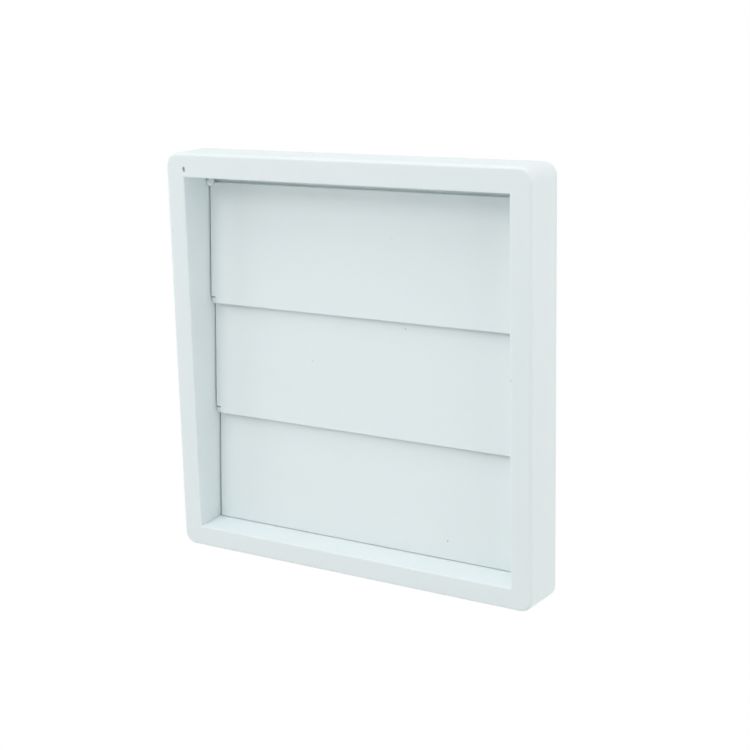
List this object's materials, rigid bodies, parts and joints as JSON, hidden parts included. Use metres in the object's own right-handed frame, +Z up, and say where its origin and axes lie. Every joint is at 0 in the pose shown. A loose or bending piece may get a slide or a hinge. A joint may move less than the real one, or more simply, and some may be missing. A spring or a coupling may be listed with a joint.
{
  "type": "gravity vent",
  "caption": "Square wall vent with overlapping hinged flaps that air from a duct pushes open and that fall shut, on a back plate with a round spigot.",
  "frame": {"origin": "centre of the wall screw pattern, on the plane where the casing lies on the wall", "axes": "+Z up, -Y out of the wall towards the viewer, so the flaps face -Y and the spigot points along +Y"},
  "size_m": [0.14, 0.0465, 0.14],
  "materials": {
    "casing": "satin moulded white plastic",
    "flaps": "satin moulded white plastic, thin and smooth"
  },
  "bodies": {
    "casing": {"front_frame": "casing", "back_plate": "casing"},
    "top_flap": {"flap_top": "flaps"},
    "middle_flap": {"flap_middle": "flaps"},
    "bottom_flap": {"flap_bottom": "flaps"}
  },
  "joints": [
    {"name": "top_hinge", "type": "hinge", "parent": "casing", "child": "top_flap", "pos_m": [0, -0.00387, 0.05885], "axis": [-1, 0, 0], "range_deg": [0, 60]},
    {"name": "middle_hinge", "type": "hinge", "parent": "casing", "child": "middle_flap", "pos_m": [0, -0.00387, 0.01755], "axis": [-1, 0, 0], "range_deg": [0, 60]},
    {"name": "bottom_hinge", "type": "hinge", "parent": "casing", "child": "bottom_flap", "pos_m": [0, -0.00387, -0.02214], "axis": [-1, 0, 0], "range_deg": [0, 60]}
  ]
}
